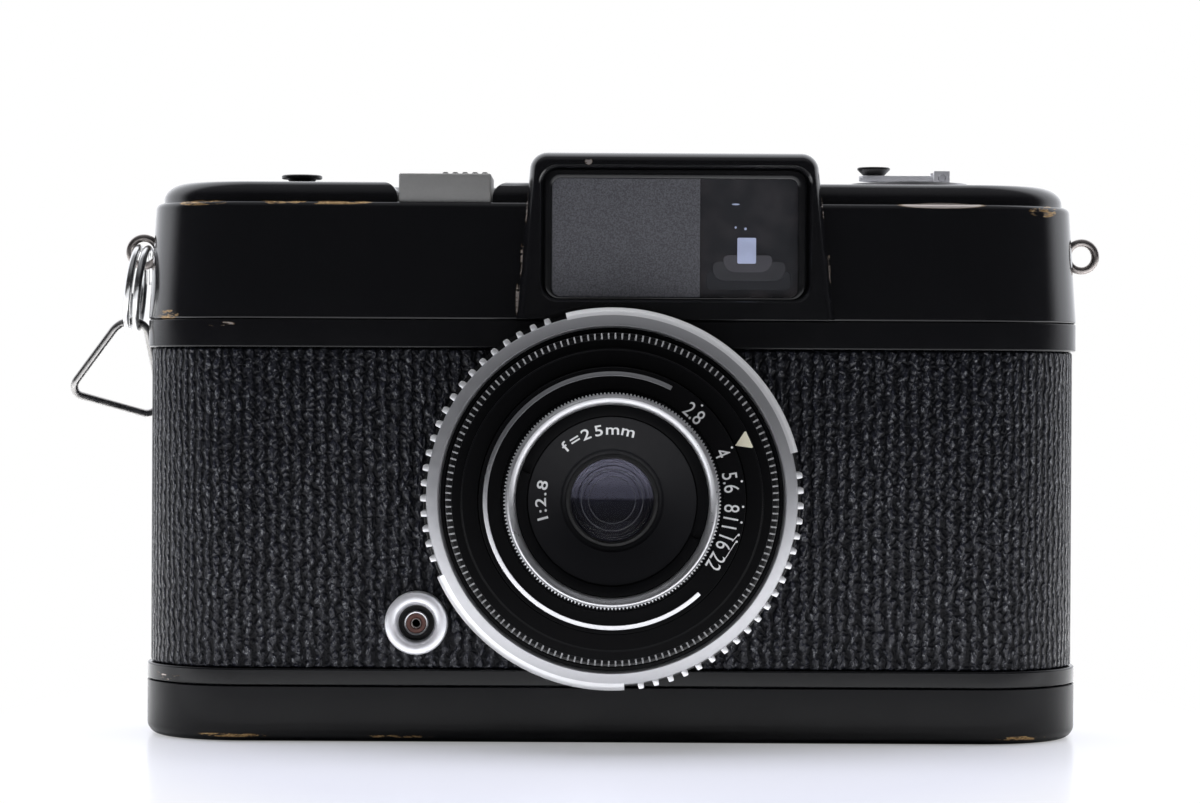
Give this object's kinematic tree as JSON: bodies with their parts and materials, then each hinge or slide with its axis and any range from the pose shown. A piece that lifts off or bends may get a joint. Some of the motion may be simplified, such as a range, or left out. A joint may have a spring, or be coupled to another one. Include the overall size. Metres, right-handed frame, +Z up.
{
  "type": "half frame camera",
  "caption": "Black half frame camera with a ringed leaf shutter lens, a raised finder window, a thumb wheel advance, a folding rewind crank and a back that slides off downwards.",
  "frame": {"origin": "mouth of the tripod socket, on the plane that the camera stands on", "axes": "+Z up, -Y out of the lens, +X to the right of someone who faces the lens"},
  "size_m": [0.1182, 0.0442, 0.0662],
  "materials": {
    "black_lacquer": "glossy black lacquer on brass, worn at the edges",
    "black_casting": "satin black paint on a light alloy casting",
    "leatherette": "black pebbled leatherette with a slight gloss",
    "steel_bright": "bright turned steel",
    "black_trim": "black anodised metal",
    "frosted_panel": "dark frosted panel",
    "clear_glass": "clear finder glass",
    "coated_glass": "coated lens glass",
    "satin_silver": "satin silver finish with turned faces",
    "name_grey": "dark grey anodised cone with white figures",
    "blade_steel": "blued spring steel",
    "socket_chrome": "bright chrome",
    "brown_insulator": "red brown insulator",
    "lug_steel": "nickelled steel with a warm tone",
    "release_grey": "satin grey metal",
    "dial_white": "satin silver dial with dark figures",
    "black_plastic": "black moulded plastic",
    "wheel_black": "black knurled wheel"
  },
  "bodies": {
    "body": {"main_body": "black_casting", "film_gate": "black_casting", "upper_deck": "black_casting", "lower_deck": "black_casting", "lock_hook": "steel_bright", "front_leatherette": "leatherette", "top_cover": "black_lacquer", "cover_screws": "steel_bright", "finder_bezel": "black_trim", "frosted_window": "frosted_panel", "finder_objective": "clear_glass", "finder_tube": "black_trim", "finder_eyepiece": "clear_glass", "eyepiece_frame": "black_trim", "shutter_case": "satin_silver", "scale_disc": "black_trim", "lens_barrel": "black_trim", "rear_lens": "coated_glass", "sync_socket": "socket_chrome", "sync_insulator": "brown_insulator", "sync_pin": "socket_chrome", "left_lug": "lug_steel", "right_lug": "lug_steel", "tripod_bush": "steel_bright"},
    "speed_ring": {"speed_ring": "satin_silver"},
    "aperture_ring": {"aperture_ring": "black_trim"},
    "focus_ring": {"focus_ring": "satin_silver", "front_cell": "black_trim", "name_ring": "name_grey", "front_lens": "coated_glass"},
    "split_ring": {"split_ring": "lug_steel"},
    "triangle_ring": {"triangle_ring": "lug_steel"},
    "release": {"release_plate": "release_grey"},
    "counter": {"counter_dial": "dial_white", "counter_knob": "black_plastic"},
    "advance_wheel": {"advance_wheel": "wheel_black"},
    "takeup_spool": {"takeup_spool": "black_plastic"},
    "sprocket": {"sprocket": "steel_bright"},
    "rewind": {"rewind_knob": "satin_silver", "rewind_shaft": "steel_bright"},
    "rewind_crank": {"rewind_crank": "satin_silver"},
    "crank_knob": {"crank_knob": "black_plastic"},
    "back": {"back_cover": "black_lacquer", "bottom_tray": "black_lacquer", "back_leatherette": "leatherette", "pressure_spring": "steel_bright"},
    "pressure_plate": {"pressure_plate": "wheel_black"},
    "lock_key": {"lock_key": "satin_silver", "lock_catch": "steel_bright"},
    "lock_handle": {"lock_handle": "satin_silver"},
    "shutter_blade_left": {"shutter_blade_left": "blade_steel"},
    "shutter_blade_right": {"shutter_blade_right": "blade_steel"},
    "iris_blade_1": {"iris_blade_1": "blade_steel"},
    "iris_blade_2": {"iris_blade_2": "blade_steel"},
    "iris_blade_3": {"iris_blade_3": "blade_steel"},
    "iris_blade_4": {"iris_blade_4": "blade_steel"},
    "iris_blade_5": {"iris_blade_5": "blade_steel"}
  },
  "joints": [
    {"name": "speed_ring_turn", "type": "hinge", "parent": "body", "child": "speed_ring", "pos_m": [0, -0.018, 0.0277], "axis": [0, -1, 0], "range_deg": [-45, 30]},
    {"name": "aperture_ring_turn", "type": "hinge", "parent": "body", "child": "aperture_ring", "pos_m": [0, -0.022, 0.0277], "axis": [0, -1, 0], "range_deg": [-42.2, 22.7]},
    {"name": "focus_ring_turn", "type": "hinge", "parent": "body", "child": "focus_ring", "pos_m": [0, -0.027, 0.0277], "axis": [0, -1, 0], "range_deg": [-120, 60]},
    {"name": "split_ring_swing", "type": "hinge", "parent": "body", "child": "split_ring", "pos_m": [-0.0545, 0, 0.0555], "axis": [0, 1, 0], "range_deg": [0, 60]},
    {"name": "triangle_ring_swing", "type": "hinge", "parent": "split_ring", "child": "triangle_ring", "pos_m": [-0.05597, 0, 0.04667], "axis": [0, 1, 0], "range_deg": [0, 50]},
    {"name": "release_press", "type": "slide", "parent": "body", "child": "release", "axis": [0, 0, -1], "range_m": [0, 0.0015], "stiffness_N_per_m": 400, "springref_m": -0.001},
    {"name": "advance_wheel_turn", "type": "hinge", "parent": "body", "child": "advance_wheel", "pos_m": [-0.0363, 0.0062, 0.053], "axis": [0, 0, 1], "continuous": true},
    {"name": "counter_turn", "type": "hinge", "parent": "body", "child": "counter", "pos_m": [-0.0363, 0.0015, 0.063], "axis": [0, 0, 1], "continuous": true},
    {"name": "takeup_spool_turn", "type": "hinge", "parent": "body", "child": "takeup_spool", "pos_m": [-0.0395, -0.0005, 0.028], "axis": [0, 0, 1], "continuous": true},
    {"name": "sprocket_turn", "type": "hinge", "parent": "body", "child": "sprocket", "pos_m": [-0.0256, 0.0042, 0.028], "axis": [0, 0, 1], "continuous": true},
    {"name": "rewind_turn", "type": "hinge", "parent": "body", "child": "rewind", "pos_m": [0.0344, 0, 0.06], "axis": [0, 0, 1], "continuous": true},
    {"name": "rewind_crank_fold", "type": "hinge", "parent": "rewind", "child": "rewind_crank", "pos_m": [0.038, 0, 0.06445], "axis": [0, 1, 0], "range_deg": [0, 150]},
    {"name": "crank_knob_spin", "type": "hinge", "parent": "rewind_crank", "child": "crank_knob", "pos_m": [0.0303, 0, 0.065], "axis": [0, 0, 1], "continuous": true},
    {"name": "back_slide", "type": "slide", "parent": "body", "child": "back", "axis": [0, 0, -1], "range_m": [0, 0.055]},
    {"name": "pressure_plate_press", "type": "slide", "parent": "back", "child": "pressure_plate", "axis": [0, 1, 0], "range_m": [0, 0.001], "stiffness_N_per_m": 300, "springref_m": -0.002},
    {"name": "lock_key_turn", "type": "hinge", "parent": "back", "child": "lock_key", "pos_m": [-0.03, 0, 0.002], "axis": [0, 0, 1], "range_deg": [-90, 0]},
    {"name": "lock_handle_fold", "type": "hinge", "parent": "lock_key", "child": "lock_handle", "pos_m": [-0.03, -0.00165, 0.00045], "axis": [1, 0, 0], "range_deg": [-90, 0]},
    {"name": "shutter_blade_right_swing", "type": "hinge", "parent": "body", "child": "shutter_blade_right", "pos_m": [0.002, -0.0145, 0.0395], "axis": [0, -1, 0], "range_deg": [0, 27]},
    {"name": "shutter_blade_left_swing", "type": "hinge", "parent": "body", "child": "shutter_blade_left", "pos_m": [-0.002, -0.0142, 0.0395], "axis": [0, -1, 0], "range_deg": [-27, 0]},
    {"name": "iris_blade_1_swing", "type": "hinge", "parent": "body", "child": "iris_blade_1", "pos_m": [0.0067, -0.016, 0.03692], "axis": [0, -1, 0], "range_deg": [-11.6, 6.3]},
    {"name": "iris_blade_2_swing", "type": "hinge", "parent": "body", "child": "iris_blade_2", "pos_m": [-0.0067, -0.016, 0.03692], "axis": [0, -1, 0], "range_deg": [-11.6, 6.3]},
    {"name": "iris_blade_3_swing", "type": "hinge", "parent": "body", "child": "iris_blade_3", "pos_m": [-0.01084, -0.016, 0.02418], "axis": [0, -1, 0], "range_deg": [-11.6, 6.3]},
    {"name": "iris_blade_4_swing", "type": "hinge", "parent": "body", "child": "iris_blade_4", "pos_m": [0, -0.016, 0.0163], "axis": [0, -1, 0], "range_deg": [-11.6, 6.3]},
    {"name": "iris_blade_5_swing", "type": "hinge", "parent": "body", "child": "iris_blade_5", "pos_m": [0.01084, -0.016, 0.02418], "axis": [0, -1, 0], "range_deg": [-11.6, 6.3]}
  ],
  "couplings": [
    {"joint": "counter_turn", "follows": "advance_wheel_turn", "ratio": 0.04},
    {"joint": "takeup_spool_turn", "follows": "advance_wheel_turn", "ratio": 1.2},
    {"joint": "sprocket_turn", "follows": "advance_wheel_turn", "ratio": 1.33},
    {"joint": "shutter_blade_left_swing", "follows": "shutter_blade_right_swing", "ratio": -1},
    {"joint": "iris_blade_1_swing", "follows": "aperture_ring_turn", "ratio": 0.271},
    {"joint": "iris_blade_2_swing", "follows": "aperture_ring_turn", "ratio": 0.271},
    {"joint": "iris_blade_3_swing", "follows": "aperture_ring_turn", "ratio": 0.271},
    {"joint": "iris_blade_4_swing", "follows": "aperture_ring_turn", "ratio": 0.271},
    {"joint": "iris_blade_5_swing", "follows": "aperture_ring_turn", "ratio": 0.271}
  ]
}
